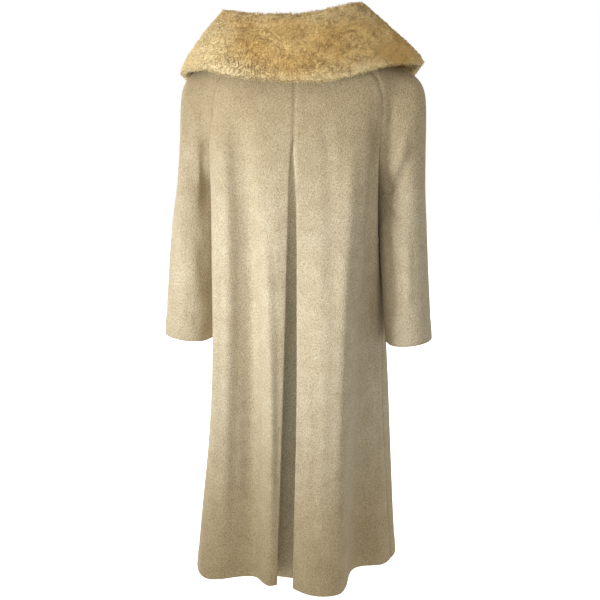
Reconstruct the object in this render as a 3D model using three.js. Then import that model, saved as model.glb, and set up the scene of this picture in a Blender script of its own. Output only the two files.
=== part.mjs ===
import * as THREE from "three";

// A long swing coat in heavy boucle wool with a broad fur shawl collar, filled out as it is worn.
// Sizes are in millimetres. +Z is up, the coat faces -Y, and +X is the wearer's left.
// The origin lies between the two points where the neck meets the shoulders, which carry the coat.
// Every surface below is the cloth's right side. Its wall is added on the inside.

const WALL = 3;
const SEAM_GAP = 0.3;
const NECK_BACK_Z = 18;
const NECK_SEAM_Z = 10;
const ARMPIT_Z = -285;
const BREAK_Z = -225;
const BLADE_Z = -200;
const HIP_Z = -620;
const HEM_Z = -1160;
const PLEAT_TOP_Z = -184;

const CLOTH = new THREE.MeshStandardMaterial({ color: 0xcbbb97, roughness: 0.95, metalness: 0 });
const FUR = new THREE.MeshStandardMaterial({ color: 0xd9bd84, roughness: 0.9, metalness: 0 });

const vec = (x, y, z) => new THREE.Vector3(x, y, z);
const clamp01 = (t) => Math.min(1, Math.max(0, t));
const ease = (t) => clamp01(t) ** 2 * (3 - 2 * clamp01(t));
const mix = THREE.MathUtils.lerp;

// The value of one column of a table at any place along another column, on a smooth curve that
// passes through every row and never overshoots between two rows.
function through(rows, along, column) {
  const sorted = [...rows].sort((a, b) => a[along] - b[along]);
  const at = sorted.map((row) => row[along]);
  const value = sorted.map((row) => row[column]);
  const rise = at.slice(1).map((x, i) => (value[i + 1] - value[i]) / (x - at[i]));
  const slope = value.map((_, i) => {
    if (i === 0) return rise[0];
    if (i === value.length - 1) return rise[i - 1];
    if (rise[i - 1] * rise[i] <= 0) return 0;
    return (2 * rise[i - 1] * rise[i]) / (rise[i - 1] + rise[i]);
  });
  return (x) => {
    if (x <= at[0]) return value[0];
    if (x >= at[at.length - 1]) return value[at.length - 1];
    const i = at.findIndex((place, k) => x >= place && x < at[k + 1]);
    const step = at[i + 1] - at[i];
    const t = (x - at[i]) / step;
    const start = value[i] * (1 + 2 * t) * (1 - t) ** 2 + step * slope[i] * t * (1 - t) ** 2;
    const end = value[i + 1] * t * t * (3 - 2 * t) + step * slope[i + 1] * t * t * (t - 1);
    return start + end;
  };
}

// The upper body, as half width on each side, depth behind and before the origin, and how square
// its cross section is.
const TORSO = [
  { z: 18, left: 98, right: 98, back: 74, front: 40, square: 2.3 },
  { z: 10, left: 112, right: 112, back: 78, front: 46, square: 2.3 },
  { z: 0, left: 150, right: 150, back: 84, front: 52, square: 2.3 },
  { z: -20, left: 200, right: 200, back: 92, front: 62, square: 2.4 },
  { z: -40, left: 220, right: 220, back: 99, front: 74, square: 2.5 },
  { z: -70, left: 213, right: 213, back: 107, front: 88, square: 2.5 },
  { z: -120, left: 201, right: 200, back: 116, front: 106, square: 2.6 },
  { z: -160, left: 201, right: 191, back: 119, front: 115, square: 2.7 },
  { z: -200, left: 199, right: 183, back: 122, front: 123, square: 2.8 },
  { z: -240, left: 192, right: 176, back: 124, front: 127, square: 2.8 },
  { z: -285, left: 177, right: 168, back: 126, front: 130, square: 2.8 },
];
const torso = Object.fromEntries(Object.keys(TORSO[0]).slice(1).map((key) => [key, through(TORSO, "z", key)]));

// The surface of the upper body at a place across it. name is left or right, face back or front.
function torsoY(name, face, x, z) {
  const across = clamp01(x / torso[name](z));
  return torso[face](z) * (1 - across ** torso.square(z)) ** (1 / torso.square(z));
}

// The raglan seams run from the neckline over the shoulder to the underarm.
const BACK_RAGLAN = [
  { z: 10, left: 66, right: 66 },
  { z: -8, left: 100, right: 100 },
  { z: -24, left: 133, right: 133 },
  { z: -42, left: 158, right: 160 },
  { z: -66, left: 167, right: 172 },
  { z: -98, left: 174, right: 178 },
  { z: -130, left: 178, right: 178 },
  { z: -165, left: 184, right: 176 },
  { z: -205, left: 187, right: 174 },
  { z: -245, left: 186, right: 171 },
  { z: -285, left: 177, right: 168 },
];
const FRONT_RAGLAN = [
  { z: -14, left: 100, right: 100 },
  { z: -40, left: 134, right: 134 },
  { z: -74, left: 154, right: 154 },
  { z: -120, left: 164, right: 163 },
  { z: -190, left: 169, right: 164 },
  { z: -285, left: 177, right: 168 },
];

// The front neckline falls from the raglan seam to the point where the fronts meet.
const FRONT_NECK = [
  { z: -28, x: 88 },
  { z: -60, x: 84 },
  { z: -105, x: 68 },
  { z: -150, x: 47 },
  { z: -190, x: 25 },
  { z: -225, x: 0.15 },
];
const frontNeckX = through(FRONT_NECK, "z", "x");

// The height of each cross row. Above the underarm a row has one height at the raglan seam and
// another at the centre, and below it all the panels share their heights.
const BACK_SEAM_HEIGHTS = [10, -8, -26, -50, -82, -122, -164, -182, -204, -240, ARMPIT_Z];
const FRONT_SEAM_HEIGHTS = [-14, -32, -52, -74, -98, -126, -156, -188, -220, -252, ARMPIT_Z];
const FRONT_NECK_HEIGHTS = [-28, -44, -62, -82, -104, -130, -158, -190, BREAK_Z, -254, ARMPIT_Z];
const LOWER_HEIGHTS = [
  -318, -358, -404, -455, -510, -565, HIP_Z, -690, -765, -840, -915, -990, -1060, -1115, -1145, HEM_Z,
];
const UPPER_ROWS = BACK_SEAM_HEIGHTS.length - 1;

// Where the cloth hangs, one row for each line down the panel, from the centre to the side.
// share is the line's place across the yoke, and blade, hip and hem are its places lower down.
const BACK_LEFT_LINES = [
  { line: "pleat edge", share: 0, bladeX: 12.6, bladeY: 122, hipX: 22.5, hipY: 134, hemX: 40, hemY: 141 },
  { line: "pleat ridge", share: 0.2, bladeX: 42, bladeY: 122, hipX: 48, hipY: 139, hemX: 56, hemY: 146 },
  { line: "inner slope", share: 0.36, bladeX: 71, bladeY: 118, hipX: 70, hipY: 125, hemX: 74, hemY: 129 },
  { line: "trough", share: 0.52, bladeX: 99, bladeY: 107, hipX: 88, hipY: 108, hemX: 92, hemY: 105 },
  { line: "outer slope", share: 0.66, bladeX: 124, bladeY: 101, hipX: 120, hipY: 109, hemX: 129, hemY: 110 },
  { line: "ridge start", share: 0.79, bladeX: 149, bladeY: 95, hipX: 152, hipY: 117, hemX: 168, hemY: 125 },
  { line: "side ridge", share: 0.89, bladeX: 171, bladeY: 85, hipX: 174, hipY: 107, hemX: 202, hemY: 125 },
  { line: "ridge flank", share: 0.955, bladeX: 183, bladeY: 68, hipX: 186, hipY: 68, hemX: 231, hemY: 78 },
  { line: "side seam", share: 1 },
];
const BACK_RIGHT_LINES = [
  { line: "pleat edge", share: 0, bladeX: 8.4, bladeY: 122, hipX: 8.6, hipY: 141, hemX: -1, hemY: 153 },
  { line: "swell start", share: 0.2, bladeX: 42, bladeY: 122, hipX: 38, hipY: 153, hemX: 27, hemY: 174 },
  { line: "swell", share: 0.38, bladeX: 74, bladeY: 121, hipX: 66, hipY: 160, hemX: 54, hemY: 181 },
  { line: "swell end", share: 0.55, bladeX: 104, bladeY: 117, hipX: 94, hipY: 157, hemX: 84, hemY: 178 },
  { line: "fold turn", share: 0.7, bladeX: 130, bladeY: 109, hipX: 116, hipY: 144, hemX: 107, hemY: 163 },
  { line: "fold edge", share: 0.81, bladeX: 150, bladeY: 97, hipX: 126, hipY: 116, hemX: 118, hemY: 118 },
  { line: "fold wall", share: 0.87, bladeX: 158, bladeY: 82, hipX: 130, hipY: 76, hemX: 122, hemY: 60 },
  { line: "fold root", share: 0.93, bladeX: 165.5, bladeY: 74, hipX: 142, hipY: 38, hemX: 144, hemY: 32 },
  { line: "side panel", share: 0.97, bladeX: 170, bladeY: 67, hipX: 171, hipY: 12, hemX: 192, hemY: 24 },
  { line: "side seam", share: 1 },
];
const FRONT_LEFT_LINES = [
  { line: "front edge", share: 0, hipX: 5.8, hipY: -140, hemX: 5.8, hemY: -152 },
  { line: "edge ridge", share: 0.17, hipX: 40, hipY: -142, hemX: 45, hemY: -163 },
  { line: "edge slope", share: 0.34, hipX: 80, hipY: -134, hemX: 84, hemY: -152 },
  { line: "trough", share: 0.51, hipX: 114, hipY: -122, hemX: 118, hemY: -130 },
  { line: "side ridge", share: 0.68, hipX: 144, hipY: -108, hemX: 160, hemY: -134 },
  { line: "ridge flank", share: 0.84, hipX: 163, hipY: -76, hemX: 208, hemY: -112 },
  { line: "side slope", share: 0.93, hipX: 170, hipY: -40, hemX: 235, hemY: -48 },
  { line: "side seam", share: 1 },
];
const FRONT_RIGHT_LINES = [
  { line: "front edge", share: 0, hipX: 5.8, hipY: -140, hemX: 5.8, hemY: -152 },
  { line: "edge ridge", share: 0.17, hipX: 42, hipY: -141, hemX: 40, hemY: -156 },
  { line: "trough", share: 0.34, hipX: 82, hipY: -130, hemX: 74, hemY: -138 },
  { line: "swell", share: 0.51, hipX: 118, hipY: -124, hemX: 112, hemY: -146 },
  { line: "side ridge", share: 0.68, hipX: 156, hipY: -116, hemX: 156, hemY: -148 },
  { line: "ridge flank", share: 0.84, hipX: 186, hipY: -94, hemX: 199, hemY: -112 },
  { line: "side slope", share: 0.93, hipX: 190, hipY: -60, hemX: 224, hemY: -58 },
  { line: "side seam", share: 1 },
];
const STEPS_PER_LINE = 2;

// The side seam joins back and front from the underarm down.
const SIDE_SEAM = [
  { z: -285, left: 177, leftY: 0, right: 168, rightY: 0 },
  { z: -330, left: 175.6, leftY: -1, right: 169, rightY: -3 },
  { z: -400, left: 173, leftY: -2, right: 173.2, rightY: -8 },
  { z: -440, left: 171.6, leftY: -3, right: 176.8, rightY: -14 },
  { z: -500, left: 170, leftY: -4, right: 181, rightY: -17 },
  { z: -620, left: 168, leftY: -5, right: 184, rightY: -20 },
  { z: -840, left: 194, leftY: 2, right: 192, rightY: -18 },
  { z: -1160, left: 238, leftY: 15, right: 212, rightY: -12 },
];

// The strip beside the pleat and beside the front edge lies flat at the top and is turned in lower
// down. turn is how far it has turned, in degrees, and run is the flat part past the turn.
const PLEAT_TURN = [
  { z: -165, turn: 0, arc: 8, run: 2 },
  { z: -180, turn: 24, arc: 8, run: 2 },
  { z: -202, turn: 62, arc: 8, run: 2 },
  { z: -238, turn: 92, arc: 8, run: 4 },
  { z: -404, turn: 112, arc: 8, run: 20 },
  { z: -620, turn: 118, arc: 8, run: 42 },
  { z: -1160, turn: 122, arc: 8, run: 74 },
];
const EDGE_TURN = [
  { z: -28, turn: 0, arc: 2.5, run: 0.5 },
  { z: -110, turn: 0, arc: 6, run: 1.5 },
  { z: BREAK_Z, turn: 0, arc: 9, run: 2 },
  { z: -285, turn: 80, arc: 9, run: 3 },
  { z: -404, turn: 92, arc: 9, run: 6 },
  { z: -1160, turn: 92, arc: 9, run: 8 },
];
const PLEAT_STEPS = { arc: 4, run: 3 };
const EDGE_STEPS = { arc: 3, run: 1 };

// The strip at one height, read from its table.
function stripAt(table) {
  const column = Object.fromEntries(["turn", "arc", "run"].map((key) => [key, through(table, "z", key)]));
  return (z) => ({ angle: THREE.MathUtils.degToRad(column.turn(z)), arc: column.arc(z), run: column.run(z) });
}

// How far a strip reaches ahead of the line where it starts to turn.
function stripReach({ angle, arc, run }) {
  if (angle < 1e-4) return arc + run;
  return (arc / angle) * Math.sin(Math.min(angle, Math.PI / 2)) + run * Math.max(0, Math.cos(angle));
}

function stripPoints(start, direction, inward, { angle, arc, run }, steps) {
  const points = [];
  const radius = angle > 1e-4 ? arc / angle : 0;
  for (let i = 1; i <= steps.arc; i++) {
    const part = i / steps.arc;
    const ahead = radius ? radius * Math.sin(angle * part) : arc * part;
    const deep = radius ? radius * (1 - Math.cos(angle * part)) : 0;
    points.push(start.clone().addScaledVector(direction, ahead).addScaledVector(inward, deep));
  }
  const end = points[points.length - 1];
  const way = direction.clone().multiplyScalar(Math.cos(angle)).addScaledVector(inward, Math.sin(angle));
  for (let i = 1; i <= steps.run; i++) {
    points.push(end.clone().addScaledVector(way, (run * i) / steps.run));
  }
  return points;
}

// One smooth curve for each line of a panel, from the yoke down to the hem.
function linePaths(lines, name, yokeLevels, yokePoint, lowerColumns) {
  const side = name === "left" ? 1 : -1;
  const sideRows = SIDE_SEAM.slice(1).map((row) => ({ z: row.z, x: row[name], y: row[`${name}Y`] }));
  return lines.map((line) => {
    const rows = yokeLevels.map((z) => ({ z, ...yokePoint(line.share, z) }));
    if (line.line === "side seam") rows.push(...sideRows);
    else for (const { z, x, y } of lowerColumns) rows.push({ z, x: line[x], y: line[y] });
    const pathX = through(rows, "z", "x");
    const pathY = through(rows, "z", "y");
    return (z) => vec(side * pathX(z), pathY(z), z);
  });
}

function acrossLines(paths, name, heightAt) {
  const stations = paths.map((path, i) => path(heightAt(i)));
  const seam = stations[stations.length - 1];
  if (seam.z < ARMPIT_Z) {
    const side = name === "left" ? 1 : -1;
    seam.set(side * through(SIDE_SEAM, "z", name)(seam.z), through(SIDE_SEAM, "z", `${name}Y`)(seam.z), seam.z);
  }
  const curve = new THREE.CatmullRomCurve3(stations, false, "centripetal");
  return curve.getPoints((paths.length - 1) * STEPS_PER_LINE);
}

// The outer rows of a back panel, each from the side to the centre.
function backPanel(name, lines) {
  const side = name === "left" ? 1 : -1;
  const raglanX = through(BACK_RAGLAN, "z", name);
  const strip = stripAt(PLEAT_TURN);
  const stripWidth = stripReach(strip(NECK_BACK_Z)) + SEAM_GAP / 2;
  const yokePoint = (share, z) => {
    const x = mix(stripWidth, raglanX(z), share);
    return { x, y: share === 0 ? torso.back(z) : torsoY(name, "back", x, z) };
  };
  const seamLevels = [-225, -250, -270, ARMPIT_Z];
  const yokeLevels = [NECK_BACK_Z, 10, -10, -38, -67, -98, -130];
  const paths = lines.map((line) => {
    const levels = line.share === 1 ? [...yokeLevels, -165, BLADE_Z, ...seamLevels] : yokeLevels;
    const columns = [
      { z: BLADE_Z, x: "bladeX", y: "bladeY" },
      { z: HIP_Z, x: "hipX", y: "hipY" },
      { z: HEM_Z, x: "hemX", y: "hemY" },
    ];
    return linePaths([line], name, levels, yokePoint, columns)[0];
  });
  const centreRise = NECK_BACK_Z - NECK_SEAM_Z;
  const row = (seamZ, rise) => {
    const points = acrossLines(paths, name, (i) => seamZ + rise * (1 - lines[i].share ** 2));
    const start = points[0];
    const flat = ease((PLEAT_TOP_Z - seamZ) / 120);
    const direction = points[0].clone().sub(points[1]).setZ(0).normalize();
    direction.lerp(vec(-side, 0, 0), 1 - flat).normalize();
    const inward = vec(direction.y, -direction.x, 0).multiplyScalar(-side);
    return [...points.reverse(), ...stripPoints(start, direction, inward, strip(start.z), PLEAT_STEPS)];
  };
  const upper = BACK_SEAM_HEIGHTS.map((z, i) => row(z, centreRise * (1 - i / UPPER_ROWS) ** 3));
  return [...upper, ...LOWER_HEIGHTS.map((z) => row(z, 0))];
}

// The outer rows of a front panel, each from the side to the front edge.
function frontPanel(name, lines) {
  const side = name === "left" ? 1 : -1;
  const raglanX = through(FRONT_RAGLAN, "z", name);
  const strip = stripAt(EDGE_TURN);
  const yokePoint = (share, z) => {
    const x = mix(frontNeckX(z) + stripReach(strip(z)), raglanX(z), share);
    return { x, y: -torsoY(name, "front", x, z) };
  };
  const yokeLevels = [-14, -28, -45, -65, -90, -120, -155, -190, BREAK_Z, -240, -255, -270, ARMPIT_Z];
  const columns = [
    { z: HIP_Z, x: "hipX", y: "hipY" },
    { z: HEM_Z, x: "hemX", y: "hemY" },
  ];
  const paths = linePaths(lines, name, yokeLevels, yokePoint, columns);
  const row = (neckZ, seamZ) => {
    const points = acrossLines(paths, name, (i) => mix(neckZ, seamZ, lines[i].share));
    const start = points[0];
    const flat = ease((BREAK_Z - neckZ) / 60);
    const direction = points[0].clone().sub(points[1]).setZ(0).normalize();
    direction.lerp(vec(-side, 0, 0), flat).normalize();
    const inward = vec(-direction.y, direction.x, 0).multiplyScalar(-side);
    return [...points.reverse(), ...stripPoints(start, direction, inward, strip(start.z), EDGE_STEPS)];
  };
  const upper = FRONT_NECK_HEIGHTS.map((z, i) => row(z, FRONT_SEAM_HEIGHTS[i]));
  return [...upper, ...LOWER_HEIGHTS.map((z) => row(z, z))];
}

// The sleeve's overarm line from the neck (0) past the underarm (1) to the cuff (2).
const OVERARM = [
  { t: 0, left: 92, right: 92, y: 10, z: 7 },
  { t: 0.2, left: 142, right: 143, y: 5, z: -9 },
  { t: 0.4, left: 192, right: 196, y: 0, z: -27 },
  { t: 0.55, left: 236, right: 245, y: -3, z: -50 },
  { t: 0.7, left: 255, right: 266, y: -5, z: -86 },
  { t: 0.85, left: 259, right: 267, y: -6, z: -160 },
  { t: 1, left: 268, right: 269, y: -6, z: -270 },
  { t: 1.3, left: 283, right: 276, y: -4, z: -370 },
  { t: 1.65, left: 294, right: 284, y: 0, z: -492 },
  { t: 2, left: 303, right: 294, y: 4, z: -614 },
];
// The underarm line of the tube below the underarm, and its depth behind and before that line.
const UNDERARM = [
  { t: 1, left: 177, right: 168, y: 0, z: -285, behind: 58, before: 64 },
  { t: 1.12, left: 180, right: 170, y: -2, z: -325, behind: 60, before: 68 },
  { t: 1.35, left: 183, right: 174, y: -3, z: -400, behind: 60, before: 68 },
  { t: 1.65, left: 190, right: 182, y: 2, z: -500, behind: 60, before: 64 },
  { t: 2, left: 196, right: 193, y: 8, z: -626, behind: 60, before: 58 },
];
// How the sleeve leaves the raglan seam: bulge is its swing backward or forward there, reach how
// far it keeps its first direction, and full how far the overarm keeps its own, for each width.
const SEAM_LEAVE = [
  { t: 0, bulge: 0, reach: 0.36, full: 0.42 },
  { t: 0.45, bulge: 0, reach: 0.38, full: 0.46 },
  { t: 0.7, bulge: 0.2, reach: 0.4, full: 0.5 },
  { t: 0.88, bulge: 0.7, reach: 0.44, full: 0.56 },
  { t: 1, bulge: 1, reach: 0.5, full: 0.62 },
];
const SLEEVE_STEPS = 8;
const SLEEVE_LOWER_ROWS = 11;

// The outer rows of half a sleeve, each from the overarm to the raglan or underarm seam.
// name is left or right, and face is 1 for the back half and -1 for the front half.
function sleeveHalf(name, face, bodyRows) {
  const side = name === "left" ? 1 : -1;
  const over = [name, "y", "z"].map((column) => through(OVERARM, "t", column));
  const under = [name, "y", "z"].map((column) => through(UNDERARM, "t", column));
  const leaveAt = Object.fromEntries(["bulge", "reach", "full"].map((k) => [k, through(SEAM_LEAVE, "t", k)]));
  const depthAt = through(UNDERARM, "t", face > 0 ? "behind" : "before");
  const overPoint = (t) => vec(side * over[0](t), over[1](t), over[2](t));
  const swing = vec(side * 0.45, face * 0.89, 0).normalize();
  const rows = [];
  for (let i = 0; i <= UPPER_ROWS; i++) {
    const t = i / UPPER_ROWS;
    const start = overPoint(t);
    const end = bodyRows[i][0];
    const span = start.clone().sub(end);
    const along = bodyRows[Math.min(i + 1, UPPER_ROWS)][0].clone().sub(bodyRows[Math.max(i - 1, 0)][0]);
    const across = bodyRows[i][0].clone().sub(bodyRows[i][1]);
    const normal = along.cross(across).normalize();
    const leave = span.clone().addScaledVector(normal, -span.dot(normal)).normalize();
    leave.lerp(swing, leaveAt.bulge(t)).normalize();
    const tube = (4 / 3) * (mix(74, depthAt(1), ease((t - 0.5) / 0.5)) - 0.5 * Math.abs(end.y));
    const settled = ease((t - 0.45) / 0.45);
    const reach = mix(span.length() * leaveAt.reach(t), tube * 0.9, settled);
    const full = mix(span.length() * leaveAt.full(t), tube, settled);
    const curve = new THREE.CubicBezierCurve3(
      start,
      start.clone().add(vec(0, face * full, mix(0, -6, t))),
      end.clone().addScaledVector(leave, reach),
      end,
    );
    rows.push(curve.getPoints(SLEEVE_STEPS));
  }
  for (let i = 1; i <= SLEEVE_LOWER_ROWS; i++) {
    const t = 1 + i / SLEEVE_LOWER_ROWS;
    const start = overPoint(t);
    const end = vec(side * under[0](t), under[1](t), under[2](t));
    const handle = (4 / 3) * depthAt(t);
    const settle = ease((t - 1) / 0.35);
    const curve = new THREE.CubicBezierCurve3(
      start,
      start.clone().add(vec(0, face * handle, 0)),
      end.clone().addScaledVector(vec(swing.x * (1 - settle), face, 0).normalize(), handle * mix(0.9, 1, settle)),
      end,
    );
    rows.push(curve.getPoints(SLEEVE_STEPS));
  }
  return rows;
}

// The pleat's underlay closes the space between the two turned strips.
const UNDERLAY_FIRST_ROW = 7;
const UNDERLAY_PLACES = [0, 0.04, 0.1, 0.2, 0.35, 0.5, 0.65, 0.8, 0.9, 0.96, 1];

function underlayRows(leftRows, rightRows) {
  return leftRows.slice(UNDERLAY_FIRST_ROW).map((leftRow, i) => {
    const rightRow = rightRows[i + UNDERLAY_FIRST_ROW];
    const ends = [leftRow, rightRow].map((row) => {
      const end = row[row.length - 1];
      const way = end.clone().sub(row[row.length - 2]).normalize();
      return { end, way };
    });
    const width = ends[0].end.distanceTo(ends[1].end);
    const handle = Math.min(14, 0.25 * width);
    const curve = new THREE.CubicBezierCurve3(
      ends[0].end,
      ends[0].end.clone().addScaledVector(ends[0].way, handle),
      ends[1].end.clone().addScaledVector(ends[1].way, handle),
      ends[1].end,
    );
    return UNDERLAY_PLACES.map((place) => curve.getPoint(place));
  });
}

// A panel is its outer rows of points, each with the direction that points out of the cloth.
function makePanel(rows, flip) {
  const last = rows.length - 1;
  const end = rows[0].length - 1;
  const outward = rows.map((row, i) =>
    row.map((_, j) => {
      const down = rows[Math.min(i + 1, last)][j].clone().sub(rows[Math.max(i - 1, 0)][j]);
      const across = row[Math.min(j + 1, end)].clone().sub(row[Math.max(j - 1, 0)]);
      return down.cross(across).normalize().multiplyScalar(flip ? -1 : 1);
    }),
  );
  const points = rows.map((row) => row.map((point) => point.clone()));
  const thickness = rows.map((row) => row.map(() => WALL));
  return { points, outward, thickness, flip };
}

// Two panels meet along a seam: their walls end on one shared plane, half a gap back from it.
const MITRE_LIMIT = 2.2;
function sew(seam) {
  for (const [first, second] of seam) {
    const shared = first.panel.outward[first.i][first.j].clone();
    shared.add(second.panel.outward[second.i][second.j]);
    if (shared.length() < 0.3) shared.add(vec(0, 0, -0.6));
    shared.normalize();
    for (const { panel, i, j } of [first, second]) {
      const own = panel.outward[i][j];
      panel.thickness[i][j] = WALL * Math.min(MITRE_LIMIT, 1 / Math.max(own.dot(shared), 0.01));
    }
    first.panel.outward[first.i][first.j] = shared;
    second.panel.outward[second.i][second.j] = shared.clone();
  }
}

// Draws one edge of a panel back from its seam by half the gap, along the panel's surface.
function drawBack(panel, places, gap) {
  const last = places.length - 1;
  const moved = places.map(({ i, j, inner }, k) => {
    const before = places[Math.max(k - 1, 0)];
    const after = places[Math.min(k + 1, last)];
    const along = panel.points[after.i][after.j].clone().sub(panel.points[before.i][before.j]);
    const away = panel.points[inner.i][inner.j].clone().sub(panel.points[i][j]);
    const across = along.cross(panel.outward[i][j]).normalize();
    if (across.dot(away) < 0) across.negate();
    return panel.points[i][j].clone().addScaledVector(across, gap);
  });
  places.forEach(({ i, j }, k) => panel.points[i][j].copy(moved[k]));
}

const columnEdge = (rows, j, inner, from, to) =>
  rows.slice(from, to + 1).map((_, k) => ({ i: from + k, j, inner: { i: from + k, j: inner } }));
const rowEdge = (row, i, inner) => row.map((_, j) => ({ i, j, inner: { i: inner, j } }));

// The closed wall of a panel: right side, wrong side and the four edges between them.
function wall(panel) {
  const { points, outward, thickness, flip } = panel;
  const height = points.length;
  const width = points[0].length;
  const position = [];
  points.forEach((row) => row.forEach((p) => position.push(p.x, p.y, p.z)));
  points.forEach((row, i) =>
    row.forEach((p, j) => {
      const q = p.clone().addScaledVector(outward[i][j], -thickness[i][j]);
      position.push(q.x, q.y, q.z);
    }),
  );
  const outer = (i, j) => i * width + j;
  const inner = (i, j) => height * width + i * width + j;
  const index = [];
  const quad = (a, b, c, d) => {
    if (flip) index.push(a, c, b, a, d, c);
    else index.push(a, b, c, a, c, d);
  };
  for (let i = 0; i < height - 1; i++) {
    for (let j = 0; j < width - 1; j++) {
      quad(outer(i, j), outer(i + 1, j), outer(i + 1, j + 1), outer(i, j + 1));
      quad(inner(i, j), inner(i, j + 1), inner(i + 1, j + 1), inner(i + 1, j));
    }
  }
  for (let i = 0; i < height - 1; i++) {
    quad(outer(i, 0), inner(i, 0), inner(i + 1, 0), outer(i + 1, 0));
    quad(outer(i, width - 1), outer(i + 1, width - 1), inner(i + 1, width - 1), inner(i, width - 1));
  }
  for (let j = 0; j < width - 1; j++) {
    quad(outer(0, j), outer(0, j + 1), inner(0, j + 1), inner(0, j));
    quad(outer(height - 1, j), inner(height - 1, j), inner(height - 1, j + 1), outer(height - 1, j + 1));
  }
  const geometry = new THREE.BufferGeometry();
  geometry.setAttribute("position", new THREE.Float32BufferAttribute(position, 3));
  geometry.setIndex(index);
  geometry.computeVertexNormals();
  return geometry;
}

const backLeft = backPanel("left", BACK_LEFT_LINES);
const backRight = backPanel("right", BACK_RIGHT_LINES);
const frontLeft = frontPanel("left", FRONT_LEFT_LINES);
const frontRight = frontPanel("right", FRONT_RIGHT_LINES);
const panels = {
  back_left: makePanel(backLeft, false),
  back_right: makePanel(backRight, true),
  front_left: makePanel(frontLeft, true),
  front_right: makePanel(frontRight, false),
  pleat_underlay: makePanel(underlayRows(backLeft, backRight), false),
  sleeve_left_back: makePanel(sleeveHalf("left", 1, backLeft), false),
  sleeve_left_front: makePanel(sleeveHalf("left", -1, frontLeft), true),
  sleeve_right_back: makePanel(sleeveHalf("right", 1, backRight), true),
  sleeve_right_front: makePanel(sleeveHalf("right", -1, frontRight), false),
};

const lastRow = backLeft.length - 1;
const sleeveEnd = UPPER_ROWS + SLEEVE_LOWER_ROWS;
const pair = (a, ai, aj, b, bi, bj) => [
  { panel: panels[a], i: ai, j: aj },
  { panel: panels[b], i: bi, j: bj },
];
const range = (from, to) => Array.from({ length: to - from + 1 }, (_, k) => from + k);

for (const name of ["left", "right"]) {
  const back = `back_${name}`;
  const front = `front_${name}`;
  const sleeveBack = `sleeve_${name}_back`;
  const sleeveFront = `sleeve_${name}_front`;
  sew(range(0, UPPER_ROWS - 1).map((i) => pair(back, i, 0, sleeveBack, i, SLEEVE_STEPS)));
  sew(range(0, UPPER_ROWS - 1).map((i) => pair(front, i, 0, sleeveFront, i, SLEEVE_STEPS)));
  sew(range(UPPER_ROWS + 1, lastRow).map((i) => pair(back, i, 0, front, i, 0)));
  sew(range(UPPER_ROWS + 1, sleeveEnd).map((i) => pair(sleeveBack, i, SLEEVE_STEPS, sleeveFront, i, SLEEVE_STEPS)));
  sew(range(0, sleeveEnd).map((i) => pair(sleeveBack, i, 0, sleeveFront, i, 0)));
}
const backEnd = backLeft[0].length - 1;
const underlayEnd = UNDERLAY_PLACES.length - 1;
sew(range(0, UNDERLAY_FIRST_ROW - 1).map((i) => pair("back_left", i, backEnd, "back_right", i, backEnd)));
for (const [name, j] of [["back_left", 0], ["back_right", underlayEnd]]) {
  sew(range(UNDERLAY_FIRST_ROW, lastRow).map((i) => pair(name, i, backEnd, "pleat_underlay", i - UNDERLAY_FIRST_ROW, j)));
}

for (const [name, panel] of Object.entries(panels)) {
  const rows = panel.points;
  const end = rows[0].length - 1;
  const bottom = rows.length - 1;
  if (name.startsWith("sleeve")) {
    drawBack(panel, columnEdge(rows, 0, 1, 0, bottom), SEAM_GAP / 2);
    drawBack(panel, columnEdge(rows, end, end - 1, 0, bottom), SEAM_GAP / 2);
  } else if (name === "pleat_underlay") {
    drawBack(panel, columnEdge(rows, 0, 1, 0, bottom), 2 * SEAM_GAP);
    drawBack(panel, columnEdge(rows, end, end - 1, 0, bottom), 2 * SEAM_GAP);
  } else {
    drawBack(panel, columnEdge(rows, 0, 1, 0, bottom), SEAM_GAP / 2);
  }
}
// At the underarm four pieces meet: the body's walls turn inward there and the sleeve's outward.
for (const [side, name] of [[1, "left"], [-1, "right"]]) {
  const corner = vec(side * torso[name](ARMPIT_Z), 0, ARMPIT_Z);
  for (const [piece, j, out, face] of [
    [`back_${name}`, 0, -1, 1],
    [`front_${name}`, 0, -1, -1],
    [`sleeve_${name}_back`, SLEEVE_STEPS, 1, 1],
    [`sleeve_${name}_front`, SLEEVE_STEPS, 1, -1],
  ]) {
    const step = vec(side * out, face, 0).multiplyScalar(SEAM_GAP);
    panels[piece].points[UPPER_ROWS][j].copy(corner).add(step);
    panels[piece].outward[UPPER_ROWS][j].set(-side * out, 0, 0);
    panels[piece].thickness[UPPER_ROWS][j] = WALL;
  }
}

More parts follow.
